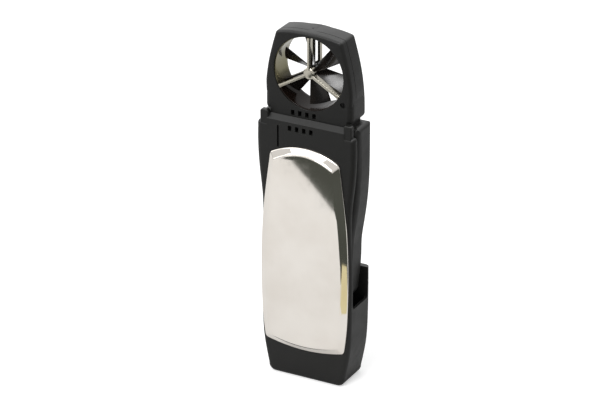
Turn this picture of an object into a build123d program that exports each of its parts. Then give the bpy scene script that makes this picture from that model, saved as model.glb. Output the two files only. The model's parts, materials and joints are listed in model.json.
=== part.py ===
from build123d import *
import math
import os

# Pocket vane anemometer: an instrument body with a vane head slides in a sheath
# that has a panel with a polished plate in front and a cup at the foot.
# X points right, -Y is the side with the plate, Z points up; millimetres.

# Named clearances
SLIDE_GAP = 0.4        # sheath to instrument, each side
RUNNING_GAP = 0.03     # shaft in its bearings, on the radius
KEY_GAP = 0.3          # push buttons in their holes, on the radius
SEAT_GAP = 0.02        # glued, clipped or screwed pieces in their seats

# Layers through the depth, before everything is centred in Y
PANEL_FRONT = -3.0     # front face of the sheath panel
PANEL_BACK = -SLIDE_GAP
BODY_FRONT = 0.0       # front face of the instrument and of the head
PARTING = 4.3          # seam between the front and the rear shell
BODY_BACK = 13.5       # rear face of the instrument
CUP_INNER = 14.6       # inner face of the back wall of the cup
CUP_OUTER = 17.2       # outer face of the back wall of the cup
RIB_HEIGHT = 0.6
PLATE_RISE = 2.6       # polished plate over the panel
WALL = 1.7             # shell walls
ALL_BACK = CUP_OUTER + RIB_HEIGHT
ALL_FRONT = PANEL_FRONT - PLATE_RISE
MID_Y = (ALL_BACK + ALL_FRONT) / 2

# Heights
LEDGE_LOW = 128.0      # front edge of the ledge at the top of the panel
LEDGE_HIGH = 130.0     # rear edge of the ledge
WING_TOP = 126.2
TAIL_CORNER = 5.5
SHOULDER_CORNER = 2.2
SHOULDER_TOP = 129.6
TAIL_BOTTOM = 41.5
NOTCH_BOTTOM = 40.0    # side notches of the cup
CUP_TOP = 55.4         # top edge of the back wall of the cup
SLIDE_TRAVEL = 32.0
CUP_WALL = 1.3
CUP_FLOOR = 2.2
EDGE_ROUND = 2.2
RIB_TOP_Z = 38.2
RIB_PITCH = 3.05

# Half widths by height
CUP_SIDE = [(4.0, 19.7), (10.0, 21.0), (18.0, 22.3), (30.0, 23.0), (45.0, 23.2)]
SHEATH_SIDE = CUP_SIDE + [(60.0, 23.1), (76.0, 22.6), (90.0, 22.8), (101.0, 24.0), (111.0, 24.8), (122.5, 24.9)]
BODY_SIDE = [(47.5, 19.6), (52.0, 20.1), (57.0, 20.7), (64.0, 21.1), (71.0, 21.3), (79.0, 22.4), (90.0, 23.9),
             (100.0, 24.7), (110.0, 25.0), (126.6, 25.0)]
HEAD_SIDE = [(133.8, 22.0), (140.0, 21.9), (150.0, 20.9), (160.0, 18.5), (167.5, 15.9)]
HEAD_BOTTOM = 130.7
HEAD_CROWN = 171.4
HEAD_CORNER = 2.8
HEAD_ROUND = 2.4
PLATE_SIDE = [(18.0, 20.6), (30.0, 22.1), (51.0, 22.8), (75.0, 22.1), (94.0, 20.3), (111.0, 17.9)]
PLATE_BOTTOM_MID = 15.2
PLATE_TOP_MID = 117.0

# Wind tunnel and vane wheel
TUNNEL_Z = 151.9
TUNNEL_R = 17.2        # inner radius of the bright ring
RING_THICK = 0.7
MOUTH_R = 17.6         # opening in the front and rear faces of the head
RING_FRONT = 0.7
RING_BACK = 12.8
BRIDGE_FRONT = 0.9
BRIDGE_DEPTH = 2.3
REAR_BRIDGE_BACK = 12.4
ARM_WIDTH = 1.6
BRIDGE_HUB_R = 2.8
WHEEL_FRONT = 3.8
WHEEL_BACK = 9.6
HUB_R = 2.3
BLADES = 8
BLADE_TIP = 16.2
BLADE_THICK = 0.5
BLADE_PHASE = 12.0
SHAFT_R = 0.6
BEARING_R = 1.5

# Slots, groove and screws seen on the front
SLOT_X = -2.5
SLOT_PITCH = 3.6
SLOT_SIZE = (1.8, 2.5)
HEAD_SLOT_Z = 131.9
PANEL_SLOT_Z = 125.2
GROOVE_X = -13.9
CARTRIDGE_SCREWS = ((-14.7, 165.0), (17.4, 140.3))
PICKUP_Y = 6.6

# Guide rails
RAIL_X = 12.0
RAIL_Z = (48.0, 90.0)
RAIL_WEB = 2.4
RAIL_FLANGE = 4.6
RAIL_FLANGE_Y = (1.3, 2.4)

# Inside and on the rear face
BOARD_Y = 6.4
BOARD_THICK = 1.0
KEY_Z = 80.5
KEY_XS = (-10.5, 0.0, 10.5)
KEY_R = 3.2
KEY_FLANGE_R = 4.0
KEY_FACE = BODY_BACK + 0.4
KEY_TRAVEL = 0.7
LCD_Z = 104.0
LCD_SIZE = (32.0, 22.0)
WINDOW_SIZE = (34.0, 24.0)
CELL_Z = 57.5
CELL_R = 10.0
CELL_THICK = 3.2
COVER_R = 12.2
HOUSING_SCREWS = ((-18.6, 118.0), (18.6, 118.0), (-16.4, 74.0), (16.4, 74.0))
SCREW_R = 0.8
SCREW_HEAD_R = 1.6
POST_R = 2.2
PIN_R = 0.55
PIN_BACK = 8.0


def profile(side, bottom, top, bottom_mid=None, top_mid=None):
    """Face symmetric about x = 0 from half widths by height; ends flat or bowed."""
    right = [(w, z) for z, w in side]
    left = [(-w, z) for z, w in reversed(side)]
    low_right, low_left = (right[0][0], bottom), (-right[0][0], bottom)
    high_right, high_left = (right[-1][0], top), (-right[-1][0], top)
    with BuildSketch() as sketch:
        with BuildLine():
            Spline(right)
            if top > right[-1][1]:
                Line(right[-1], high_right)
            if top_mid is None:
                Line(high_right, high_left)
            else:
                ThreePointArc(high_right, (0, top_mid), high_left)
            if top > right[-1][1]:
                Line(high_left, left[0])
            Spline(left)
            if bottom < right[0][1]:
                Line(left[-1], low_left)
            if bottom_mid is None:
                Line(low_left, low_right)
            else:
                ThreePointArc(low_left, (0, bottom_mid), low_right)
            if bottom < right[0][1]:
                Line(low_right, right[0])
        make_face()
    return sketch.sketch


def slab(face, y_front, y_back):
    """Upright plate: a face drawn in x and z, thick from y_front to y_back."""
    return Pos(0, y_back, 0) * Rot(90, 0, 0) * extrude(face, amount=y_back - y_front)


def block(x0, x1, y0, y1, z0, z1):
    """Box between three pairs of bounds."""
    return Pos((x0 + x1) / 2, (y0 + y1) / 2, (z0 + z1) / 2) * Box(x1 - x0, y1 - y0, z1 - z0)


def rod(x, z, radius, y_front, y_back):
    """Round rod along Y."""
    return Pos(x, (y_front + y_back) / 2, z) * Rot(90, 0, 0) * Cylinder(radius, y_back - y_front)


def edges_at(shape, y, tolerance=0.01):
    """Edges lying whole in one plane across Y."""
    return [e for e in shape.edges() if abs(e.bounding_box().min.Y - y) < tolerance
            and abs(e.bounding_box().max.Y - y) < tolerance]


def rounded(face, corners, radius):
    """Face with the vertices nearest to the given points rounded."""
    picked = [min(face.vertices(), key=lambda v: (v.X - x) ** 2 + (v.Y - z) ** 2) for x, z in corners]
    return fillet(picked, radius)


def one(shape):
    """The biggest solid of a result, so no stray sliver rides along."""
    return max(shape.solids(), key=lambda s: s.volume)


# Outlines in the front view

def narrowed(side, inset, ends=0.0):
    """Half widths less an inset; the end heights may move inwards too."""
    narrow = [(z, w - inset) for z, w in side]
    narrow[0] = (side[0][0] + ends, side[0][1] - inset)
    narrow[-1] = (side[-1][0] - ends, side[-1][1] - inset)
    return narrow


def tail_face(inset=0.0):
    side = narrowed(BODY_SIDE, inset)
    face = profile(side, TAIL_BOTTOM + inset, SHOULDER_TOP - inset)
    return rounded(face, [(side[0][1], TAIL_BOTTOM), (-side[0][1], TAIL_BOTTOM)], TAIL_CORNER - inset)


def body_face(inset=0.0):
    face = tail_face(inset)
    return rounded(face, [(25.0, SHOULDER_TOP), (-25.0, SHOULDER_TOP)], max(SHOULDER_CORNER - inset, 0.3))


def head_face():
    face = profile(HEAD_SIDE, HEAD_BOTTOM, HEAD_SIDE[-1][0], top_mid=HEAD_CROWN)
    face = rounded(face, [(22.0, HEAD_BOTTOM), (-22.0, HEAD_BOTTOM)], HEAD_CORNER)
    return rounded(face, [(15.9, 167.5), (-15.9, 167.5)], HEAD_CORNER)


def sheath_face():
    face = profile(SHEATH_SIDE, 0.0, WING_TOP)
    face = rounded(face, [(CUP_SIDE[0][1], 0.0), (-CUP_SIDE[0][1], 0.0)], 3.6)
    return rounded(face, [(24.9, WING_TOP), (-24.9, WING_TOP)], 1.6)


def plate_face(inset=0.0):
    side = narrowed(PLATE_SIDE, inset, inset)
    face = profile(side, side[0][0], side[-1][0], PLATE_BOTTOM_MID + inset, PLATE_TOP_MID - inset)
    corners = [(sign * side[end][1], side[end][0]) for sign in (-1, 1) for end in (0, -1)]
    return rounded(face, corners, 2.6 if inset < 1 else 1.4)


def slots(z, y_front, y_back):
    """Row of four vent slots."""
    width, height = SLOT_SIZE
    row = []
    for k in range(4):
        x = SLOT_X + (k - 1.5) * SLOT_PITCH
        row.append(block(x - width / 2, x + width / 2, y_front, y_back, z - height / 2, z + height / 2))
    return row


# Sheath

def collar():
    """Ledge along the top of the panel, with a lug rising at each end."""
    corners = [(PANEL_FRONT, 123.0), (PANEL_BACK, 123.0), (PANEL_BACK, LEDGE_HIGH), (PANEL_FRONT, LEDGE_LOW)]
    across = Plane(origin=(-19.5, 0, 0), x_dir=(0, 1, 0), z_dir=(1, 0, 0))
    strip = extrude(across * Polygon(*corners, align=None), amount=39.0)
    parts = [strip]
    for side in (-1, 1):
        lug = block(min(side * 19.0, side * 23.2), max(side * 19.0, side * 23.2),
                    PANEL_FRONT + 0.3, PANEL_BACK, 124.0, 131.8)
        lug = fillet(lug.edges().filter_by(Axis.Y).group_by(Axis.Z)[-1], 1.2)
        parts.append(fillet(edges_at(lug, PANEL_FRONT + 0.3), 0.6))
    return parts


def rail_pins():
    """Seats of the guide rails in the panel."""
    return [block(side * RAIL_X - RAIL_WEB / 2, side * RAIL_X + RAIL_WEB / 2,
                  PANEL_BACK - 1.2, PANEL_BACK, *RAIL_Z) for side in (-1, 1)]


def sheath_shell():
    """Panel, cup with side notches, back wall with thumb ribs and collar, one moulding."""
    shell = slab(sheath_face(), PANEL_FRONT, CUP_OUTER)
    shell = fillet(edges_at(shell, PANEL_FRONT), EDGE_ROUND)
    shell = fillet(edges_at(shell, CUP_OUTER), 2.4)
    shell = shell - block(-30, 30, PANEL_BACK, 40, CUP_TOP, 200)
    notch = block(-30, 30, PANEL_BACK, CUP_INNER, NOTCH_BOTTOM, CUP_TOP + 10)
    shell = shell - fillet(notch.edges().filter_by(Axis.X).group_by(Axis.Z)[0], 1.6)
    inner = profile([(z, w - CUP_WALL) for z, w in CUP_SIDE], CUP_FLOOR, CUP_TOP)
    inner = rounded(inner, [(CUP_SIDE[0][1] - CUP_WALL, CUP_FLOOR), (CUP_WALL - CUP_SIDE[0][1], CUP_FLOOR)], 1.6)
    shell = shell - slab(inner, PANEL_BACK, CUP_INNER)
    for k in range(4):
        rib = Pos(0, CUP_OUTER - 0.5, RIB_TOP_Z - RIB_PITCH * k) * Rot(0, 90, 0) * Cylinder(RIB_HEIGHT + 0.5, 38.0)
        shell = shell + rib
    shell = shell + slab(plate_face(0.2), PANEL_FRONT, PANEL_BACK)
    for piece in collar():
        shell = shell + piece
    shell = shell - slots(PANEL_SLOT_Z, PANEL_FRONT - 1, PANEL_BACK + 1)
    shell = shell - block(GROOVE_X - 0.45, GROOVE_X + 0.45, PANEL_FRONT - 1, PANEL_BACK + 1, 115.0, 125.6)
    shell = shell - plate_recess() - rail_pins() - detent_seat()
    return one(shell)


def plate_recess():
    """Shallow seat the plate and its adhesive sit in."""
    return slab(plate_face(0.9), PANEL_FRONT - 1, PANEL_FRONT + 0.5)


def plate_adhesive():
    return slab(plate_face(2.0), PANEL_FRONT + 0.02, PANEL_FRONT + 0.48)


def mirror_plate():
    """Domed polished cover: rolled edge, flat rim standing on the panel."""
    outer = slab(plate_face(), PANEL_FRONT - PLATE_RISE, PANEL_FRONT)
    outer = chamfer(edges_at(outer, PANEL_FRONT - PLATE_RISE), 1.9, 2.2)
    outer = fillet(edges_at(outer, PANEL_FRONT - PLATE_RISE), 1.0)
    return one(outer)


def guide_rails():
    """T rails on the back of the panel, one each side."""
    rails = []
    for side in (-1, 1):
        x = side * RAIL_X
        web = block(x - RAIL_WEB / 2, x + RAIL_WEB / 2, PANEL_BACK - 1.2 + SEAT_GAP, RAIL_FLANGE_Y[1], *RAIL_Z)
        flange = block(x - RAIL_FLANGE / 2, x + RAIL_FLANGE / 2, *RAIL_FLANGE_Y, *RAIL_Z)
        rails.append(one(web + flange))
    return Compound(rails)


def detent_seat():
    return block(-2.6, 2.6, PANEL_BACK - 0.9, PANEL_BACK + 1, 60.0, 84.0)


def detent_spring():
    """Leaf spring in the panel, with a bump towards the instrument."""
    leaf = block(-2.4, 2.4, PANEL_BACK - 0.88, PANEL_BACK - 0.48, 60.3, 83.7)
    bump = Pos(0, PANEL_BACK - 0.7, 72.0) * Rot(0, 90, 0) * Cylinder(1.0, 3.6)
    return one(leaf + (bump & block(-2, 2, PANEL_BACK - 0.6, 2, 65, 79)))


# Instrument

def rail_grooves(y0, y1, half_web, half_flange):
    """Grooves for the rails, open at the tail, closed at the top as the end stop."""
    top = RAIL_Z[1] + SLIDE_TRAVEL + 0.4
    cuts = []
    for side in (-1, 1):
        x = side * RAIL_X
        cuts.append(block(x - half_web, x + half_web, -1.0, y0 + 0.2, TAIL_BOTTOM - 1, top))
        cuts.append(block(x - half_flange, x + half_flange, y0, y1, TAIL_BOTTOM - 1, top))
    return cuts


def instrument_blank():
    """Outside shape of the instrument, head, neck and body in one."""
    body = slab(tail_face(), BODY_FRONT, BODY_BACK)
    body = fillet(edges_at(body, BODY_FRONT), 3.6)
    body = fillet(edges_at(body, BODY_BACK), 1.8)
    body = body & slab(body_face(), BODY_FRONT, BODY_BACK)
    head = slab(head_face(), BODY_FRONT, BODY_BACK - 0.3)
    head = fillet(edges_at(head, BODY_FRONT), HEAD_ROUND)
    head = fillet(edges_at(head, BODY_BACK - 0.3), 0.8)
    neck = block(-20.4, 20.4, BODY_FRONT + 0.001, BODY_BACK - 0.8, 120.0, 138.0)
    neck = chamfer(neck.edges().filter_by(Axis.Z), 1.2)
    return body + neck + head


def front_shell():
    """Front half of the instrument with the front of the head."""
    shell = instrument_blank() & block(-40, 40, -5, PARTING, 0, 200)
    shell = shell - slab(body_face(WALL), BODY_FRONT + WALL, PARTING + 1)
    shell = shell - block(-16.0, 16.0, BODY_FRONT + WALL, PARTING + 1, 120.0, 131.8)
    for side in (-1, 1):
        x = side * RAIL_X
        bed = block(x - 4.2, x + 4.2, BODY_FRONT + 1, PARTING - 0.1, TAIL_BOTTOM + 0.8, 125.5)
        shell = shell + (bed & instrument_blank())
    for x, z in HOUSING_SCREWS:
        shell = shell + rod(x, z, POST_R, BODY_FRONT + 1, PARTING)
    shell = shell - rail_grooves(RAIL_FLANGE_Y[0] - 0.3, RAIL_FLANGE_Y[1] + 0.3,
                                 RAIL_WEB / 2 + 0.3, RAIL_FLANGE / 2 + 0.3)
    shell = shell - slots(HEAD_SLOT_Z, -1, PARTING + 1)
    shell = shell - rod(0, TUNNEL_Z, MOUTH_R, -1, RING_FRONT + 1)
    shell = shell - rod(0, TUNNEL_Z, TUNNEL_R + RING_THICK + SEAT_GAP, RING_FRONT, PARTING + 1)
    for x, z in CARTRIDGE_SCREWS:
        shell = shell - rod(x, z, 1.35, -1, 1.4) - rod(x, z, PIN_R + 0.07, 0, PARTING + 1)
    for x, z in HOUSING_SCREWS:
        shell = shell - rod(x, z, SCREW_R * 0.8, 2.2, PARTING + 1)
    return one(shell)


def rear_shell():
    """Rear half with window, key holes, battery opening and the rear of the head."""
    shell = instrument_blank() & block(-40, 40, PARTING, 30, 0, 200)
    cavity = slab(body_face(WALL), PARTING - 1, BODY_BACK - WALL)
    shell = shell - cavity
    shell = shell - block(-16.0, 16.0, PARTING - 1, BODY_BACK - 3.0, 120.0, 131.8)
    for x, z in HOUSING_SCREWS:
        shell = shell + rod(x, z, 2.6, PARTING, BODY_BACK - 0.5)
        shell = shell - rod(x, z, SCREW_R + 0.1, 0, 20)
        shell = shell - rod(x, z, SCREW_HEAD_R + 0.1, BODY_BACK - 1.5, 20)
    for x, z in CARTRIDGE_SCREWS:
        shell = shell - rod(x, z, PIN_R + SEAT_GAP, 0, PIN_BACK + 0.2)
    shell = shell - rod(0, TUNNEL_Z, MOUTH_R, 10, 20)
    shell = shell - rod(0, TUNNEL_Z, TUNNEL_R + RING_THICK + SEAT_GAP, 0, RING_BACK)
    width, height = WINDOW_SIZE
    shell = shell - block(-width / 2, width / 2, BODY_BACK - 0.9, 20, LCD_Z - height / 2, LCD_Z + height / 2)
    width, height = LCD_SIZE
    shell = shell - block(-width / 2 + 1.5, width / 2 - 1.5, 8, 20, LCD_Z - height / 2 + 1.5, LCD_Z + height / 2 - 1.5)
    for x in KEY_XS:
        shell = shell - rod(x, KEY_Z, KEY_R + KEY_GAP, 8, 20)
    shell = shell - rod(0, CELL_Z, COVER_R - 1.4, 8, 20)
    shell = shell - rod(0, CELL_Z, COVER_R + 0.05, BODY_BACK - 1.0, 20)
    shell = shell - block(-6.6, -1.2, 5.0, PICKUP_Y + 2.2, 131.0, 134.6)
    return one(shell)


def tunnel_ring():
    """Bright lining of the wind tunnel."""
    return one(rod(0, TUNNEL_Z, TUNNEL_R + RING_THICK, RING_FRONT + SEAT_GAP, RING_BACK)
               - rod(0, TUNNEL_Z, TUNNEL_R, 0, 20))


def bridge(y0, y1, hole_y0, hole_y1):
    """Three flat arms from a round hub to the ring."""
    shape = rod(0, TUNNEL_Z, BRIDGE_HUB_R, y0, y1)
    for angle in (90, 210, 330):
        arm = block(0, TUNNEL_R - SEAT_GAP, y0, y1, -ARM_WIDTH / 2, ARM_WIDTH / 2)
        shape = shape + Pos(0, 0, TUNNEL_Z) * Rot(0, -angle, 0) * arm
    shape = shape & rod(0, TUNNEL_Z, TUNNEL_R - SEAT_GAP, y0 - 1, y1 + 1)
    return one(shape - rod(0, TUNNEL_Z, BEARING_R + SEAT_GAP, hole_y0, hole_y1))


def front_bridge():
    back = BRIDGE_FRONT + BRIDGE_DEPTH
    return bridge(BRIDGE_FRONT, back, BRIDGE_FRONT + 0.8, back + 1)


def rear_bridge():
    front = REAR_BRIDGE_BACK - BRIDGE_DEPTH
    return bridge(front, REAR_BRIDGE_BACK, front - 1, REAR_BRIDGE_BACK - 0.8)


def bearing(y0, y1, hole_y0, hole_y1):
    cup = rod(0, TUNNEL_Z, BEARING_R, y0, y1)
    return one(cup - rod(0, TUNNEL_Z, SHAFT_R + RUNNING_GAP, hole_y0, hole_y1))


def front_bearing():
    back = BRIDGE_FRONT + BRIDGE_DEPTH
    return bearing(BRIDGE_FRONT + 0.8 + SEAT_GAP, back, BRIDGE_FRONT + 1.2, back + 1)


def rear_bearing():
    front = REAR_BRIDGE_BACK - BRIDGE_DEPTH
    return bearing(front, REAR_BRIDGE_BACK - 0.8 - SEAT_GAP, front - 1, REAR_BRIDGE_BACK - 1.2)


def vane_shaft():
    return one(rod(0, TUNNEL_Z, SHAFT_R, BRIDGE_FRONT + 1.4, REAR_BRIDGE_BACK - 1.4))


def vane_blade():
    """One twisted blade along +X, lofted through sections that turn towards the tip."""
    mid = (WHEEL_FRONT + WHEEL_BACK) / 2
    sections = []
    for radius, chord, turn in ((HUB_R - 0.5, 4.4, 18.0), (6.5, 5.6, 32.0), (11.5, 7.0, 43.0), (BLADE_TIP, 8.2, 50.0)):
        angle = math.radians(turn)
        plane = Plane(origin=(radius, mid, 0), x_dir=(0, math.cos(angle), math.sin(angle)), z_dir=(1, 0, 0))
        sections.append(plane * Rectangle(chord, BLADE_THICK))
    return loft(sections, ruled=True)


def vane_wheel():
    """Hub with twisted blades; a step at the front carries the magnet."""
    wheel = rod(0, TUNNEL_Z, HUB_R, WHEEL_FRONT, WHEEL_BACK)
    blade = vane_blade()
    for k in range(BLADES):
        wheel = wheel + Pos(0, 0, TUNNEL_Z) * Rot(0, -(BLADE_PHASE + 360.0 / BLADES * k), 0) * blade
    wheel = wheel - rod(0, TUNNEL_Z, SHAFT_R + 0.005, 0, 20)
    return one(wheel - rod(0, TUNNEL_Z, 1.7, WHEEL_BACK - 1.6, 20))


def rotor_magnet():
    return one(rod(0, TUNNEL_Z, 1.68, WHEEL_BACK - 1.58, WHEEL_BACK) - rod(0, TUNNEL_Z, SHAFT_R + 0.01, 0, 20))


def cartridge_screws():
    screws = []
    for x, z in CARTRIDGE_SCREWS:
        head = rod(x, z, 1.2, 0.5, 1.38) - block(x - 0.2, x + 0.2, 0, 0.85, z - 0.9, z + 0.9)
        screws.append(one(head + rod(x, z, PIN_R, 1.0, PIN_BACK)))
    return Compound(screws)


def pickup_sensor():
    """Pickup under the tunnel ring that counts the turns of the wheel."""
    body = block(-6.0, -2.0, PICKUP_Y - 1.2, PICKUP_Y + 1.2, 131.2, 133.6)
    legs = [block(x - 0.25, x + 0.25, BOARD_Y - 0.4, BOARD_Y, 124.5, 131.4) for x in (-5.2, -4.0, -2.8)]
    for leg in legs:
        body = body + leg
    return one(body)


def climate_sensor():
    """Temperature and humidity sensor behind the vent slots."""
    can = block(0.5, 6.5, 2.9, BOARD_Y, 125.2, 130.6)
    holes = [block(1.4 + 1.5 * k, 2.2 + 1.5 * k, 2.0, 3.5, 126.2, 129.6) for k in range(3)]
    for hole in holes:
        can = can - hole
    return one(can)


def circuit_board():
    """Board with room for the cell and holes for the housing posts."""
    board = slab(body_face(WALL + 0.6), BOARD_Y, BOARD_Y + BOARD_THICK)
    for x, z in HOUSING_SCREWS:
        board = board - rod(x, z, 3.0, 0, 20)
    return one(board)


def processor_chip():
    chip = block(-5.0, 5.0, BOARD_Y - 1.4, BOARD_Y, 88.0, 98.0)
    return one(chamfer(edges_at(chip, BOARD_Y - 1.4), 0.3))


def dome_switches():
    """Three dome switches on the board under the keys."""
    switches = []
    for x in KEY_XS:
        base = block(x - 3.0, x + 3.0, BOARD_Y + BOARD_THICK, BOARD_Y + BOARD_THICK + 1.2, KEY_Z - 3.0, KEY_Z + 3.0)
        switches.append(one(base + rod(x, KEY_Z, 1.5, BOARD_Y + BOARD_THICK + 1.0, BOARD_Y + BOARD_THICK + 2.0)))
    return Compound(switches)


def key(x):
    """Push button: round cap, flange inside the shell, stem over its switch."""
    cap = rod(x, KEY_Z, KEY_R, BODY_BACK - WALL - 0.3, KEY_FACE)
    cap = fillet(edges_at(cap, KEY_FACE), 0.3)
    flange = rod(x, KEY_Z, KEY_FLANGE_R, BODY_BACK - WALL - 1.0, BODY_BACK - WALL - 0.05)
    stem_end = BOARD_Y + BOARD_THICK + 2.0 + KEY_TRAVEL + 0.05
    return one(cap + flange + rod(x, KEY_Z, 1.2, stem_end, BODY_BACK - WALL - 0.5))


def lcd_module():
    width, height = LCD_SIZE
    return one(block(-width / 2, width / 2, 9.2, BODY_BACK - WALL - 0.02, LCD_Z - height / 2, LCD_Z + height / 2))


def lcd_connector():
    """Rubber strip that joins display and board."""
    return one(block(-14.0, 14.0, BOARD_Y + BOARD_THICK, 9.2, LCD_Z - 10.4, LCD_Z - 8.2))


def lcd_window():
    width, height = WINDOW_SIZE
    pane = block(-width / 2 + 0.05, width / 2 - 0.05, BODY_BACK - 0.9 + SEAT_GAP, BODY_BACK - 0.02,
                 LCD_Z - height / 2 + 0.05, LCD_Z + height / 2 - 0.05)
    return one(fillet(pane.edges().filter_by(Axis.Y), 0.02))


def coin_cell():
    """Round cell with a stepped negative side."""
    front = BOARD_Y + BOARD_THICK + 0.5
    return one(fillet(edges_at(rod(0, CELL_Z, CELL_R, front + 0.5, front + CELL_THICK), front + CELL_THICK), 0.4)
               + rod(0, CELL_Z, CELL_R - 1.2, front, front + 0.6))


def battery_contacts():
    """Negative pad under the cell and positive clip beside it."""
    top = BOARD_Y + BOARD_THICK
    pad = rod(0, CELL_Z, 5.0, top, top + 0.48)
    clip = block(CELL_R + 0.1, CELL_R + 0.6, top, top + 3.4, CELL_Z - 3.0, CELL_Z + 3.0)
    foot = block(CELL_R + 0.1, CELL_R + 3.0, top, top + 0.4, CELL_Z - 3.0, CELL_Z + 3.0)
    return Compound([one(pad), one(clip + foot)])


def battery_cover():
    """Round cover with a coin slot, flush in the rear shell."""
    rim = rod(0, CELL_Z, COVER_R, BODY_BACK - 1.0 + SEAT_GAP, BODY_BACK)
    rim = rim + rod(0, CELL_Z, COVER_R - 1.5, 11.3, BODY_BACK - 0.5)
    return one(rim - block(-5.5, 5.5, BODY_BACK - 0.7, BODY_BACK + 1, CELL_Z - 0.8, CELL_Z + 0.8))


def housing_screws():
    screws = []
    for x, z in HOUSING_SCREWS:
        head = rod(x, z, SCREW_HEAD_R, BODY_BACK - 1.48, BODY_BACK - 0.5)
        head = head - block(x - 1.0, x + 1.0, BODY_BACK - 0.9, BODY_BACK, z - 0.2, z + 0.2)
        head = head - block(x - 0.2, x + 0.2, BODY_BACK - 0.9, BODY_BACK, z - 1.0, z + 1.0)
        screws.append(one(head + rod(x, z, SCREW_R * 0.78, 2.4, BODY_BACK - 1.2)))
    return Compound(screws)


NODES = {
    "sheath_shell": sheath_shell,
    "mirror_plate": mirror_plate,
    "plate_adhesive": plate_adhesive,
    "guide_rails": guide_rails,
    "detent_spring": detent_spring,
    "front_shell": front_shell,
    "rear_shell": rear_shell,
    "tunnel_ring": tunnel_ring,
    "front_bridge": front_bridge,
    "rear_bridge": rear_bridge,
    "front_bearing": front_bearing,
    "rear_bearing": rear_bearing,
    "vane_shaft": vane_shaft,
    "vane_wheel": vane_wheel,
    "rotor_magnet": rotor_magnet,
    "cartridge_screws": cartridge_screws,
    "pickup_sensor": pickup_sensor,
    "climate_sensor": climate_sensor,
    "circuit_board": circuit_board,
    "processor_chip": processor_chip,
    "dome_switches": dome_switches,
    "power_button": lambda: key(KEY_XS[0]),
    "mode_button": lambda: key(KEY_XS[1]),
    "hold_button": lambda: key(KEY_XS[2]),
    "lcd_module": lcd_module,
    "lcd_connector": lcd_connector,
    "lcd_window": lcd_window,
    "coin_cell": coin_cell,
    "battery_contacts": battery_contacts,
    "battery_cover": battery_cover,
    "housing_screws": housing_screws,
}


os.makedirs("parts", exist_ok=True)
for node, maker in NODES.items():
    shape = maker()
    shape = Pos(0, -MID_Y, 0) * shape
    export_step(shape, f"parts/{node}.step")
    box = shape.bounding_box()
    print(f"{node:18s} solids {len(shape.solids())} volume {shape.volume:9.2f} "
          f"x {box.min.X:7.2f} {box.max.X:7.2f} y {box.min.Y:7.2f} {box.max.Y:7.2f} z {box.min.Z:7.2f} {box.max.Z:7.2f}")
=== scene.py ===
import json
import math

import bmesh
import bpy
import numpy as np
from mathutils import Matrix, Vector


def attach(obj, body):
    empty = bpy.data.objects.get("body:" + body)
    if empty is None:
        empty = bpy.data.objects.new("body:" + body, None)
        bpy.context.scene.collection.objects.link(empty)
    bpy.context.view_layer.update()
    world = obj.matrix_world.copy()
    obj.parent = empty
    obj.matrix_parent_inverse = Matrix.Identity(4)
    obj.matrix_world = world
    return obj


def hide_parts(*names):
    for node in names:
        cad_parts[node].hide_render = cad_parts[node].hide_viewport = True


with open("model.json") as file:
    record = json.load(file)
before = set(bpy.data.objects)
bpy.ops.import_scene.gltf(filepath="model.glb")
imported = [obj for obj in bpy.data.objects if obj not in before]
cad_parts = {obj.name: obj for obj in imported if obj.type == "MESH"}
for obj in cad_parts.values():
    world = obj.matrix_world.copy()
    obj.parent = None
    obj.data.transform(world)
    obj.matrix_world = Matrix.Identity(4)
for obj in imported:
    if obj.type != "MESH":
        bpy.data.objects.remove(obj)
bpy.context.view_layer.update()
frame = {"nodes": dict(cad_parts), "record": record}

# Pocket vane anemometer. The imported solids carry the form. Polished, turned and twisted
# pieces are computed again as smooth surfaces, in metres, in the row frame.
MM = 0.001
FULL_TURN = 2.0 * math.pi
LAYER = -0.0061               # front plane of the instrument
TUNNEL_Z = 0.1519             # height of the wheel axis
TUNNEL_R = 0.0172             # bore of the wind tunnel
RING_THICK = 0.0007
RING_FRONT = LAYER + 0.00072
RING_BACK = LAYER + 0.0128
PLATE_BACK = LAYER - 0.003    # plane of the panel under the polished plate
CROWN_FRONT = LAYER - 0.00004
CROWN_BACK = LAYER + 0.01325


# Shader maths

class Value:
    """A number or colour socket; arithmetic on it adds Math nodes to its node tree."""

    def __init__(self, paint, socket):
        self.paint = paint
        self.socket = socket

    def maths(self, operation, first, second):
        return self.paint.node("ShaderNodeMath", {"operation": operation}, {0: first, 1: second})

    def __add__(self, other):
        return self.maths("ADD", self, other)

    def __radd__(self, other):
        return self.maths("ADD", other, self)

    def __sub__(self, other):
        return self.maths("SUBTRACT", self, other)

    def __rsub__(self, other):
        return self.maths("SUBTRACT", other, self)

    def __mul__(self, other):
        return self.maths("MULTIPLY", self, other)

    def __rmul__(self, other):
        return self.maths("MULTIPLY", other, self)

    def most(self, other):
        return self.maths("MAXIMUM", self, other)

    def clipped(self, low, high):
        """0 at low, 1 at high, smooth between them."""
        return self.paint.node("ShaderNodeMapRange", {"interpolation_type": "SMOOTHSTEP"},
                               {"Value": self, "From Min": low, "From Max": high})


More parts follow.
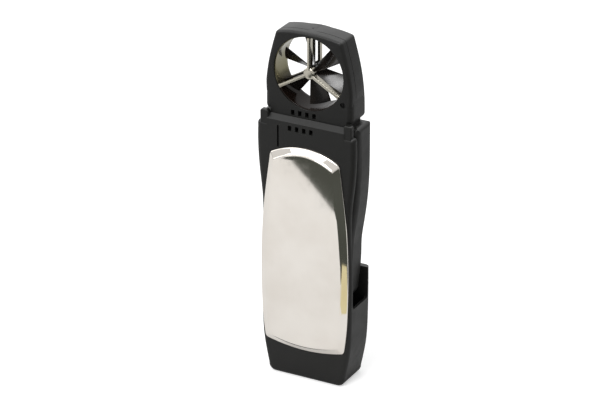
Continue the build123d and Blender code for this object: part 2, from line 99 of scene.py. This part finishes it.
class Paint:
    """The node tree of one material or world."""

    def __init__(self, owner):
        self.owner = owner
        owner.use_nodes = True
        self.tree = owner.node_tree
        self.tree.nodes.clear()

    def node(self, kind, settings=None, values=None, out=0):
        """Adds a node: its settings first, then the values or links of its sockets."""
        made = self.tree.nodes.new(kind)
        for key, setting in (settings or {}).items():
            setattr(made, key, setting)
        for key, value in (values or {}).items():
            if isinstance(value, Value):
                self.tree.links.new(value.socket, made.inputs[key])
            else:
                made.inputs[key].default_value = value
        return Value(self, made.outputs[out]) if made.outputs else None

    @property
    def place(self):
        """Position in the object, in metres."""
        return self.node("ShaderNodeTexCoord", out="Object")

    def stretched(self, x, y, z):
        """Object position scaled along each axis, for a grain that runs one way."""
        return self.node("ShaderNodeMapping", None, {"Vector": self.place, "Scale": (x, y, z)})

    def noise(self, scale, detail=2.0, rough=0.5, place=None):
        return self.node("ShaderNodeTexNoise", None, {
            "Vector": place or self.place, "Scale": scale, "Detail": detail, "Roughness": rough})

    def height_in(self, vector):
        """The Z share of a vector."""
        return self.node("ShaderNodeSeparateXYZ", None, {0: vector}, out="Z")

    def mix(self, amount, first, second):
        """Colour between two colours."""
        values = {0: amount, 6: first, 7: second}
        return self.node("ShaderNodeMix", {"data_type": "RGBA"}, values, out=2)

    def bump(self, height, depth):
        return self.node("ShaderNodeBump", None, {"Height": height, "Distance": depth})

    def finished(self, shader, kind="ShaderNodeOutputMaterial"):
        self.node(kind, None, {"Surface": shader})
        return self.owner

    def surface(self, **sockets):
        """Principled shader with its sockets by name, an underline for a space."""
        values = {key.replace("_", " "): value for key, value in sockets.items()}
        return self.finished(self.node("ShaderNodeBsdfPrincipled", None, values))


def new_paint(name):
    return Paint(bpy.data.materials.new(name))


def rgb(red, green, blue):
    """Colour written as on a screen, 0 to 255, as linear light."""
    def linear(level):
        level = level / 255.0
        return level / 12.92 if level <= 0.04045 else ((level + 0.055) / 1.055) ** 2.4
    return (linear(red), linear(green), linear(blue), 1.0)


# Finishes

def edge_wear(paint, radius):
    """1 on sharp edges, 0 on flats: how far a rounded normal leaves the true one."""
    soft = paint.node("ShaderNodeBevel", {"samples": 4}, {"Radius": radius})
    true = paint.node("ShaderNodeNewGeometry", out="Normal")
    dot = paint.node("ShaderNodeVectorMath", {"operation": "DOT_PRODUCT"},
                     {0: soft, 1: true}, out="Value")
    return (1.0 - dot).clipped(0.02, 0.25)


def moulded(name, base, worn, rough):
    """Moulded plastic: fine spark-eroded grain, faint flow clouds, edges rubbed shiny, and a
    painted sheen: a gloss coat on faces that look up, which makes the tops lighter."""
    paint = new_paint(name)
    grain_depth, wear = 0.00002, 0.25
    fine = paint.noise(3800.0, 3.0, 0.6)
    rub = edge_wear(paint, 0.0005) * paint.noise(420.0, 4.0, 0.6).clipped(0.35, 0.75)
    darker = tuple(0.8 * level for level in base[:3]) + (1.0,)
    shade = paint.mix(paint.noise(60.0, 3.0), base, darker)
    smear = paint.noise(150.0, 4.0, 0.65).clipped(0.3, 0.8)
    # painted sheen: the coat grows on faces that look up, so the tops shine lighter than the sides
    painted_top_sheen = paint.height_in(paint.node("ShaderNodeNewGeometry", out="Normal")).clipped(0.35, 0.95)
    return paint.surface(
        Base_Color=paint.mix(rub * wear, shade, worn), Roughness=rough + 0.10 * smear - rub * 0.14,
        Normal=paint.bump(fine, grain_depth), Specular_IOR_Level=0.22,
        Coat_Weight=painted_top_sheen * 0.75, Coat_Roughness=0.3)


def polished(name, base, tint, rough, brushed=(1.0, 1.0, 1.0), depth=0.000002):
    """Bright metal: faint tint clouds, hair scratches one way, fingerprints in the roughness."""
    paint = new_paint(name)
    clouds = paint.noise(45.0, 3.0).clipped(0.3, 0.7)
    hair = paint.noise(900.0, 2.0, 0.5, paint.stretched(*brushed))
    prints = paint.noise(130.0, 5.0, 0.6).clipped(0.5, 0.8)
    return paint.surface(Base_Color=paint.mix(clouds, base, tint), Metallic=1.0,
                         Roughness=rough + 0.05 * prints + 0.03 * hair,
                         Normal=paint.bump(hair, depth))


def simple(name, base, other, rough, metal=0.0, scale=300.0, grain=0.00001):
    """Small parts: two close colours in clouds, a fine bump."""
    paint = new_paint(name)
    clouds = paint.noise(scale, 3.0).clipped(0.35, 0.65)
    fine = paint.noise(scale * 9.0, 2.0)
    return paint.surface(Base_Color=paint.mix(clouds, base, other), Metallic=metal,
                         Roughness=rough + 0.12 * fine, Normal=paint.bump(fine, grain))


def ring_finish():
    """Tube: plated and olive above, a painted dark reflection in its lower part (plain dark brown,
    not metal), fine turning marks.
    """
    paint = new_paint("ring_plating")
    # mask: 1 for the plating above, 0 for the painted dark reflection in the lower part
    plating_above_painted_dark = paint.height_in(paint.place).clipped(TUNNEL_Z - 0.009, TUNNEL_Z - 0.003)
    olive = paint.mix(paint.noise(45.0, 3.0), rgb(138, 134, 108), rgb(104, 98, 76))
    hair = paint.noise(900.0, 2.0, 0.5, paint.stretched(0.2, 1.0, 0.2))
    # painted dark reflection: the lower part is plain dark brown instead of plating
    return paint.surface(Base_Color=paint.mix(plating_above_painted_dark, rgb(26, 18, 14), olive), Metallic=plating_above_painted_dark,
                         Roughness=0.16 + 0.05 * hair, Normal=paint.bump(hair, 0.000002),
                         Specular_IOR_Level=0.15)


def window_finish():
    """Clear pane: see-through with a hard, slightly scratched coat."""
    paint = new_paint("window_clear")
    hair = paint.noise(700.0, 3.0, 0.5, paint.stretched(1.0, 1.0, 0.1))
    clear = paint.node("ShaderNodeBsdfTransparent", None, {"Color": (0.93, 0.95, 0.94, 1.0)})
    gloss = paint.node("ShaderNodeBsdfPrincipled", None, {
        "Base Color": paint.mix(hair, rgb(20, 22, 22), rgb(30, 32, 32)),
        "Roughness": 0.04 + 0.05 * hair, "Normal": paint.bump(hair, 0.000001)})
    shine = paint.node("ShaderNodeFresnel", None, {"IOR": 1.49}) * 0.9 + 0.05
    return paint.finished(paint.node("ShaderNodeMixShader", None, {0: shine, 1: clear, 2: gloss}))


BLACK = moulded("black_moulding", rgb(28, 28, 27), rgb(78, 76, 74), 0.42)
MIRROR = polished("mirror_polish", rgb(236, 231, 224), rgb(228, 222, 214), 0.03,
                  (1.0, 1.0, 0.05), 0.0000004)
BRIGHT = polished("bright_plating", rgb(186, 182, 170), rgb(166, 160, 146), 0.16,
                  (1.0, 0.2, 1.0))
RING = ring_finish()
VANE = simple("vane_lacquer", rgb(20, 18, 17), rgb(30, 25, 22), 0.12, scale=160.0, grain=0.000002)
CHIP = simple("chip_black", rgb(30, 30, 32), rgb(40, 40, 42), 0.5)

# Material slot of the record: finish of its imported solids
FINISH = {
    "black_plastic": BLACK,
    "sheath_plastic": moulded("sheath_moulding", rgb(30, 30, 29), rgb(82, 79, 76), 0.40),
    "mirror_steel": MIRROR,
    "bright_plating": BRIGHT,
    "vane_plating": VANE,
    "steel": polished("screw_steel", rgb(46, 46, 46), rgb(34, 34, 34), 0.3),
    "spring_steel": polished("spring_steel", rgb(150, 150, 152), rgb(120, 120, 124), 0.3,
                             (1.0, 1.0, 0.1)),
    "adhesive": simple("adhesive_film", rgb(190, 186, 170), rgb(170, 164, 146), 0.6),
    "jewel": simple("bearing_jewel", rgb(150, 40, 60), rgb(120, 26, 46), 0.12),
    "magnet": simple("magnet_ferrite", rgb(46, 45, 47), rgb(60, 58, 58), 0.5),
    "board_green": simple("board_green", rgb(22, 84, 52), rgb(16, 66, 40), 0.35, scale=500.0),
    "component_black": CHIP,
    "sensor_white": simple("sensor_dark", rgb(34, 34, 33), rgb(24, 24, 24), 0.5),
    "switch_metal": simple("switch_metal", rgb(176, 172, 162), rgb(150, 146, 138), 0.3, 1.0),
    "key_rubber": simple("key_rubber", rgb(66, 68, 72), rgb(54, 56, 60), 0.55, scale=260.0),
    "lcd_glass": simple("lcd_glass", rgb(140, 148, 130), rgb(132, 140, 122), 0.2, scale=120.0),
    "connector_rubber": simple("connector_rubber", rgb(190, 120, 150), rgb(160, 96, 124), 0.6),
    "window_clear": window_finish(),
    "cell_steel": polished("cell_steel", rgb(196, 196, 198), rgb(176, 176, 180), 0.22),
}


# Surfaces

def piece(name, material, slot, body, *grids, replaces=(), sharp=35.0):
    """One mesh from grids of points, each (rows, columns, 3) with two flags: the rows close
    on the first, the columns close on the first."""
    points, faces, start = [], [], 0
    for grid, close_rows, close_columns in grids:
        rows, columns = grid.shape[:2]
        index = np.arange(rows * columns).reshape(rows, columns) + start
        if close_rows:
            index = np.vstack([index, index[:1]])
        if close_columns:
            index = np.hstack([index, index[:, :1]])
        quads = np.stack([index[:-1, :-1], index[:-1, 1:], index[1:, 1:], index[1:, :-1]], axis=-1)
        points.append(grid.reshape(-1, 3))
        faces.append(quads.reshape(-1, 4))
        start += rows * columns
    mesh = bpy.data.meshes.new(name)
    mesh.from_pydata(np.vstack(points).tolist(), [], np.vstack(faces).tolist())
    made = bpy.data.objects.new(name, mesh)
    bpy.context.scene.collection.objects.link(made)
    tidy_mesh(made, sharp)
    mesh.materials.append(material)
    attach(made, body)
    if replaces:
        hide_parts(*replaces)


def tidy_mesh(made, sharp):
    """Merges doubles at poles and seams, points faces outwards, smooths all but sharp edges."""
    work = bmesh.new()
    work.from_mesh(made.data)
    bmesh.ops.remove_doubles(work, verts=work.verts, dist=0.0000005)
    bmesh.ops.dissolve_degenerate(work, dist=0.0000003, edges=work.edges)
    bmesh.ops.recalc_face_normals(work, faces=work.faces)
    for face in work.faces:
        face.smooth = True
    for edge in work.edges:
        if len(edge.link_faces) == 2 and edge.calc_face_angle(0.0) > math.radians(sharp):
            edge.smooth = False
    work.to_mesh(made.data)
    work.free()


def turned(section, steps):
    """Profile of (radius, y) points turned about the wheel axis:
    x = r cos a, z = TUNNEL_Z + r sin a, with a in even steps."""
    angle = np.linspace(0.0, FULL_TURN, steps, endpoint=False)[None, :]
    radius, depth = section[:, :1], section[:, 1:2]
    x, z = radius * np.cos(angle), TUNNEL_Z + radius * np.sin(angle)
    return np.stack([x, depth + 0.0 * angle, z], axis=-1)


def around_axis(angle, reach, side, depth):
    """Points reach out along the radius at an angle, side across it and depth along the axis."""
    c, s = math.cos(angle), math.sin(angle)
    x = reach * c - side * s
    z = reach * s + side * c
    return np.stack([x, depth + 0.0 * x, TUNNEL_Z + z], axis=-1)


def capped(grid):
    """Adds a row at each end, all at the middle of the end row, so that both ends close."""
    first = np.repeat(grid[:1].mean(axis=1, keepdims=True), grid.shape[1], axis=1)
    last = np.repeat(grid[-1:].mean(axis=1, keepdims=True), grid.shape[1], axis=1)
    return np.concatenate([first, grid, last], axis=0)


def unit(vectors):
    return vectors / np.linalg.norm(vectors, axis=1)[:, None]


def plate_loop(inset):
    """Outline of the polished plate drawn in by inset millimetres: half widths are the polynomial
    through six measured heights, ends are bowed arcs, each side has its own fixed count of points
    so that corners stay in line from loop to loop; a running mean rounds the corners."""
    height = np.array([18.0, 30.0, 51.0, 75.0, 94.0, 112.2])
    width = np.array([20.2, 21.65, 22.35, 21.75, 20.0, 17.6])
    top_bow, foot_bow, side_steps, end_steps, thinning = 4.9, 2.8, 1600, 640, 8
    side = np.polynomial.Polynomial.fit(height, width, 5)
    low, high = height[0] + inset, height[-1] - inset
    up = np.linspace(low, high, side_steps, endpoint=False)
    down = np.linspace(high, low, side_steps, endpoint=False)
    across = np.linspace(1.0, -1.0, end_steps, endpoint=False)
    top_half, foot_half = side(high) - inset, side(low) - inset
    right = np.stack([side(up) - inset, up], axis=1)
    bow = np.stack([top_half * across, high + top_bow * (1.0 - across ** 2)], axis=1)
    left = np.stack([inset - side(down), down], axis=1)
    foot = np.stack([-foot_half * across, low - foot_bow * (1.0 - across ** 2)], axis=1)
    loop = np.vstack([right, bow, left, foot])
    reach = int(26 - 5.5 * inset)      # steps of the mean to each side, fewer further in
    kernel = np.ones(2 * reach + 1) / (2 * reach + 1)
    wrapped = np.vstack([loop[-reach:], loop, loop[:reach]])
    smooth = np.stack([np.convolve(wrapped[:, k], kernel, "valid") for k in (0, 1)], axis=1)
    return smooth[::thinning] * MM


def polished_plate():
    """Rolled plate: loops of the outline drawn in step by step while the depth follows a flat
    bevel with rounded edges, then a flat face; a flat back closes it."""
    rise, middle = 0.0026, np.array([0.0, 0.066])
    rim, rim_lift, bevel, bevel_lift = 0.2, 0.00082, 2.7, 0.0016
    crest_start, crest, crest_lift = 2.85, 0.6, 0.00014
    steps = [(0.0, 0.0), (0.0, 0.0005), (0.03, 0.00062), (rim, rim_lift)]
    steps += [(rim + bevel * t, rim_lift + bevel_lift * t) for t in np.linspace(0.06, 0.94, 6)]
    steps += [(crest_start + crest * t, rise - crest_lift * (1.0 - t) ** 2)
              for t in np.linspace(0.0, 1.0, 6)]
    outline, face = plate_loop(0.0), plate_loop(crest_start + crest)
    flats = [(middle + (outline - middle) * t, 0.0) for t in np.linspace(0.0, 1.0, 4)]
    flats += [(plate_loop(inset), lift) for inset, lift in steps]
    flats += [(middle + (face - middle) * t, rise) for t in np.linspace(1.0, 0.0, 26)[1:]]
    loops = [np.stack([flat[:, 0], 0.0 * flat[:, 0] + PLATE_BACK - lift, flat[:, 1]], axis=1)
             for flat, lift in flats]
    piece("polished_plate", MIRROR, "mirror_steel", "sheath",
          (np.array(loops), False, True), replaces=("mirror_plate",), sharp=30.0)


def wind_tunnel():
    """Thin tube with a rolled front lip: a profile of radius and depth turned about the axis."""
    half, chamfer = RING_THICK * 0.5, 0.0001
    lip = [(TUNNEL_R + half + half * math.cos(t), RING_FRONT + half - half * math.sin(t))
           for t in np.linspace(0.0, math.pi, 9)]
    depth = np.linspace(RING_FRONT + RING_THICK, RING_BACK - 2.0 * chamfer, 8)
    inner = [(TUNNEL_R, y) for y in depth]
    tail = [(TUNNEL_R + chamfer, RING_BACK), (TUNNEL_R + RING_THICK - chamfer, RING_BACK)]
    outer = [(TUNNEL_R + RING_THICK, y) for y in depth[::-1]]
    section = np.array(lip + inner + tail + outer)
    piece("wind_tunnel", RING, "bright_plating", "instrument",
          (turned(section, 128), True, True), replaces=("tunnel_ring",), sharp=40.0)


def blade(phase):
    """Twisted blade: at each radius a slim rounded section whose chord and stagger grow towards
    the tip. The radius and the turn round the section are the two parameters, and the section
    is wrapped onto its circle, so that the tip follows the tunnel."""
    root, tip, half_thick = 0.0018, 0.0162, 0.00025
    radius = np.linspace(root + 0.0001, tip, 26)[:, None]
    share = (radius - root) / (tip - root)
    chord = 0.0052 + 0.0044 * share
    stagger = np.radians(34.0 + 40.0 * share - 14.0 * share ** 2)
    turn = np.linspace(0.0, FULL_TURN, 28, endpoint=False)[None, :]
    along = 0.5 * chord * np.cos(turn)
    across = half_thick * np.sign(np.sin(turn)) * np.abs(np.sin(turn)) ** 0.6
    depth = LAYER + 0.0067 + along * np.cos(stagger) - across * np.sin(stagger)
    side = along * np.sin(stagger) + across * np.cos(stagger)
    reach = np.sqrt(np.maximum(radius ** 2 - side ** 2, 0.0))
    return around_axis(phase, reach, side, depth)


def wheel():
    """Six blades in even turns on a turned hub with rounded ends."""
    grids = [(capped(blade(math.radians(40.0 + 60.0 * k))), False, True) for k in range(6)]
    front, back, bore = LAYER + 0.0038, LAYER + 0.0096, 0.000605
    hub = [(bore, front), (0.0017, front), (0.0021, front + 0.00012), (0.0023, front + 0.0005),
           (0.0023, back - 0.0004), (0.0022, back - 0.0001), (0.0020, back), (0.0017, back),
           (0.0017, back - 0.0016), (bore, back - 0.0016)]
    grids.append((turned(np.array(hub), 64), True, True))
    piece("blade_wheel", VANE, "vane_plating", "wheel", *grids,
          replaces=("vane_wheel",), sharp=40.0)


def arm(angle, front, back, half):
    """Deep arm: a rounded oblong section, half wide to each side and as deep as front to back,
    carried out along the radius and spread a little at the tube. The way out and the turn round
    the section are the two parameters."""
    tip, squareness = 0.01717, 0.28
    ends = [tip - 0.0007, tip - 0.0002, tip]
    reach = np.concatenate([np.linspace(0.0012, tip - 0.0015, 12), ends])[:, None]
    turn = np.linspace(0.0, FULL_TURN, 32, endpoint=False)[None, :]
    wide = half * np.sign(np.cos(turn)) * np.abs(np.cos(turn)) ** squareness
    deep = 0.5 * (back - front) * np.sign(np.sin(turn)) * np.abs(np.sin(turn)) ** squareness
    spread = 1.0 + 0.25 * np.clip((reach - tip + 0.003) / 0.003, 0.0, 1.0) ** 2
    return around_axis(angle, reach, wide * spread, 0.5 * (front + back) + deep)


def spider(name, node, face, end, half):
    """Bearing bridge: three arms and a hub with a rounded face and, in its end towards the
    wheel, the blind seat of a bearing."""
    front, back = min(face, end), max(face, end)
    grids = [(capped(arm(math.radians(degrees), front, back, half)), False, True)
             for degrees in (90.0, 210.0, 330.0)]
    inward = math.copysign(0.00025, end - face)
    seat = end - 6.0 * inward
    hub_radius, seat_radius = 0.0028, 0.00155
    hub = [(0.0, face), (0.0018, face), (0.0024, face + 0.4 * inward),
           (hub_radius, face + 2.0 * inward), (hub_radius, end),
           (seat_radius, end), (seat_radius, seat), (0.0, seat)]
    grids.append((turned(np.array(hub), 64), True, True))
    piece(name, BRIGHT, "bright_plating", "instrument", *grids, replaces=(node,), sharp=38.0)


def crown_outline(count):
    """Outline of the head from the right side over the top to the left: half widths are the
    polynomial through measured heights, the top is a low arc, and a running mean along the
    line rounds the corners."""
    height = np.array([133.8, 140.0, 150.0, 160.0, 169.7])
    width = np.array([22.25, 22.15, 21.3, 19.3, 16.6])
    low, high, top_half, top_bow, mean_width, fine = 140.0, height[-1], 16.5, 1.68, 2.4, 3000
    side = np.polynomial.Polynomial.fit(height, width, 4)
    up = np.linspace(low, high, 400)
    right = np.stack([side(up), up], axis=1)
    across = np.linspace(1.0, -1.0, 400)[1:-1]
    arc = np.stack([top_half * across, high + top_bow * (1.0 - np.abs(across) ** 2.6)], axis=1)
    loop = np.vstack([right, arc, right[::-1] * [-1.0, 1.0]])
    run = np.concatenate([[0.0], np.cumsum(np.linalg.norm(np.diff(loop, axis=0), axis=1))])
    even = np.linspace(0.0, run[-1], fine)
    line = np.stack([np.interp(even, run, loop[:, k]) for k in (0, 1)], axis=1)
    steps = int(round(mean_width / (run[-1] / fine)))
    kernel = np.ones(steps) / steps
    smooth = np.stack([np.convolve(line[:, k], kernel, "same") for k in (0, 1)], axis=1)
    smooth[:steps], smooth[-steps:] = line[:steps], line[-steps:]
    return smooth[np.linspace(0, fine - 1, count).astype(int)] * MM


def crown_section():
    """Outer side of the arch as (inset along the normal, depth): front round, parting groove,
    rear round."""
    front_round, back_round, groove, parting = 0.0015, 0.0017, 0.00022, LAYER + 0.0043
    quarter = 0.5 * math.pi
    section = [(front_round * (1.0 - math.sin(t)), CROWN_FRONT + front_round * (1.0 - math.cos(t)))
               for t in np.linspace(0.0, quarter, 9)]
    section += [(0.0, parting - 0.00016), (groove, parting - 0.0001),
                (groove, parting + 0.0001), (0.0, parting + 0.00016)]
    section += [(back_round * (1.0 - math.cos(t)), CROWN_BACK - back_round * (1.0 - math.sin(t)))
                for t in np.linspace(0.0, quarter, 7)]
    return section


def head_crown():
    """Arch of the head: a section closed round the tunnel, carried along the outline. The way
    along the arch and the turn round the section are the two parameters; both ends sink a
    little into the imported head."""
    count, tunnel_wall, sink_depth, sink_steps = 260, 0.01795, 0.00045, 14.0
    outer = crown_outline(count)
    centre = np.array([0.0, TUNNEL_Z])
    ray = unit(outer - centre)
    tangent = unit(np.gradient(outer, axis=0))
    normal = np.stack([tangent[:, 1], -tangent[:, 0]], axis=1)
    normal *= np.sign((normal * ray).sum(axis=1))[:, None]
    number = np.arange(count)
    grown = np.clip(np.minimum(number, number[::-1]) / sink_steps, 0.0, 1.0)[:, None]
    sink = sink_depth * (1.0 - grown)
    loops = [(centre + ray * tunnel_wall, depth) for depth in (CROWN_BACK, CROWN_FRONT)]
    loops += [(outer - normal * (inset + sink), depth) for inset, depth in crown_section()]
    columns = [np.stack([flat[:, 0], np.full(count, depth), flat[:, 1]], axis=1)
               for flat, depth in loops]
    piece("head_crown", BLACK, "black_plastic", "instrument",
          (capped(np.stack(columns, axis=1)), False, True), sharp=32.0)


def crown_stop():
    """Small oval stop on top of the head: a low profile of radius and height turned about an
    upright axis, wider than deep."""
    top, bottom = 0.17138, 0.17097
    profile = np.array([(0.0, top), (0.0006, top), (0.0009, top + 0.00001),
                        (0.0011, top - 0.00002), (0.0011, bottom), (0.0, bottom)])
    angle = np.linspace(0.0, FULL_TURN, 40, endpoint=False)[None, :]
    radius, height = profile[:, :1], profile[:, 1:2]
    x = 1.15 * radius * np.cos(angle) - 0.0006
    y = LAYER + 0.0069 + 0.85 * radius * np.sin(angle)
    grid = np.stack([x, y, height + 0.0 * angle], axis=-1)
    piece("crown_stop", CHIP, "component_black", "instrument", (grid, True, True), sharp=40.0)


polished_plate()
wind_tunnel()
wheel()
spider("front_spider", "front_bridge", LAYER + 0.0001, LAYER + 0.0032, 0.00078)
spider("rear_spider", "rear_bridge", LAYER + 0.0124, LAYER + 0.0101, 0.0007)
head_crown()
crown_stop()

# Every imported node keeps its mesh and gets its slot's finish
for row in frame["record"]["subparts"]:
    solid = frame["nodes"][row["node"]]
    solid.data.materials.clear()
    solid.data.materials.append(FINISH[row["material_slot"]])


# Studio

SEEN_LIFT = 0.45     # what the floor and the world gain where the camera or a mirror sees them


def staged(name, corners, material, seen=True):
    """Flat card or floor from its corners; a card that isn't seen shows in reflections only."""
    mesh = bpy.data.meshes.new(name)
    mesh.from_pydata(corners, [], [tuple(range(len(corners)))])
    made = bpy.data.objects.new(name, mesh)
    bpy.context.scene.collection.objects.link(made)
    mesh.materials.append(material)
    made.visible_camera = made.visible_shadow = made.visible_diffuse = seen


def floor_finish():
    """Pale floor, lifted to white for the camera, its shadow kept."""
    paint = new_paint("studio_floor")
    pale = paint.mix(paint.noise(3.0), (0.86, 0.86, 0.86, 1.0), (0.84, 0.84, 0.84, 1.0))
    matt = paint.node("ShaderNodeBsdfDiffuse", None, {"Color": pale})
    seen = paint.node("ShaderNodeLightPath", out="Is Camera Ray")
    glow = paint.node("ShaderNodeEmission", None, {
        "Color": (1.0, 1.0, 1.0, 1.0), "Strength": seen * SEEN_LIFT})
    return paint.finished(paint.node("ShaderNodeAddShader", None, {0: matt, 1: glow}))


def card_finish(name, first, second):
    """Dull reflection card."""
    paint = new_paint(name)
    return paint.surface(Base_Color=paint.mix(paint.noise(8.0), first, second), Roughness=0.9)


def card(name, outline, lift, finish):
    """Card just above the floor, from an outline in plan, left to right and back, facing up."""
    staged(name, [(x, y, lift) for x, y in outline[::-1]], finish, seen=False)


def studio():
    """Floor, the dark and cream cards that the plate reflects, and an even pale world."""
    wide = 12.0
    corners = [(-wide, -wide, 0.0), (wide, -wide, 0.0), (wide, wide, 0.0), (-wide, wide, 0.0)]
    staged("floor", corners, floor_finish())
    card("dark_card", [(-0.150, -0.255), (-0.118, -0.224), (-0.100, -0.208), (-0.073, -0.182),
                       (0.000, -0.160), (0.098, -0.128), (0.112, -0.050), (0.15, -0.02),
                       (0.60, 0.0), (0.60, -0.75), (-0.150, -0.75)],
         0.0006, card_finish("dark_card", rgb(50, 54, 46), rgb(40, 44, 36)))
    card("cream_card", [(0.048, -0.074), (0.084, -0.060), (0.122, -0.112), (0.084, -0.140)],
         0.0004, card_finish("cream_card", rgb(226, 216, 172), rgb(218, 208, 164)))
    world = bpy.data.worlds.new("studio")
    bpy.context.scene.world = world
    paint = Paint(world)
    by_eye, by_mirror, by_glass = (paint.node("ShaderNodeLightPath", out=f"Is {way} Ray")
                                   for way in ("Camera", "Glossy", "Transmission"))
    strength = by_eye.most(by_mirror).most(by_glass) * SEEN_LIFT + 0.55
    light = paint.node("ShaderNodeBackground", None, {"Strength": strength})
    paint.finished(light, "ShaderNodeOutputWorld")


def aimed(made, place, forward):
    """Puts a lamp or the camera at a place, looking forward with its top up."""
    bpy.context.scene.collection.objects.link(made)
    made.location = place
    made.rotation_mode = "QUATERNION"
    made.rotation_quaternion = forward.to_track_quat("-Z", "Y")


def lamp(name, place, aim, size, power):
    """Soft oblong lamp that faces a point."""
    data = bpy.data.lights.new(name, "AREA")
    data.shape = "RECTANGLE"
    data.size, data.size_y = size
    data.energy = power
    aimed(bpy.data.objects.new(name, data), place, Vector(aim) - Vector(place))


def camera():
    """At the photograph's place: 28 degrees to the right, 25 above, 1.5 m away."""
    target = Vector((-0.00035, -0.0061, 0.0877))
    azimuth, elevation, away = math.radians(28.0), math.radians(25.0), 1.5
    picture_width, pixels_per_mm = 615.0, 2.207
    level = math.cos(elevation)
    back = Vector((math.sin(azimuth) * level, -math.cos(azimuth) * level, math.sin(elevation)))
    data = bpy.data.cameras.new("camera")
    data.sensor_width = 36.0
    data.lens = data.sensor_width * pixels_per_mm * (away / MM) / picture_width
    made = bpy.data.objects.new("camera", data)
    aimed(made, target + back * away, -back)
    bpy.context.scene.camera = made


studio()
BODY, WHEEL = (0.0, 0.0, 0.08), (0.0, 0.0, 0.15)
lamp("overhead", (0.1, 0.35, 1.3), BODY, (1.4, 1.4), 5.6)
lamp("vane_glint", (-0.03, -1.0, 1.12), WHEEL, (0.34, 0.66), 6.5)
lamp("front_soft", (-0.36, -1.0, 0.84), (0.0, 0.0, 0.12), (1.5, 0.40), 4.0)
lamp("left_soft", (-1.1, -0.3, 0.8), BODY, (0.8, 1.2), 3.0)
lamp("right_soft", (1.2, 0.2, 0.7), BODY, (0.6, 1.2), 0.6)
camera()
bpy.context.scene.view_settings.view_transform = "Standard"
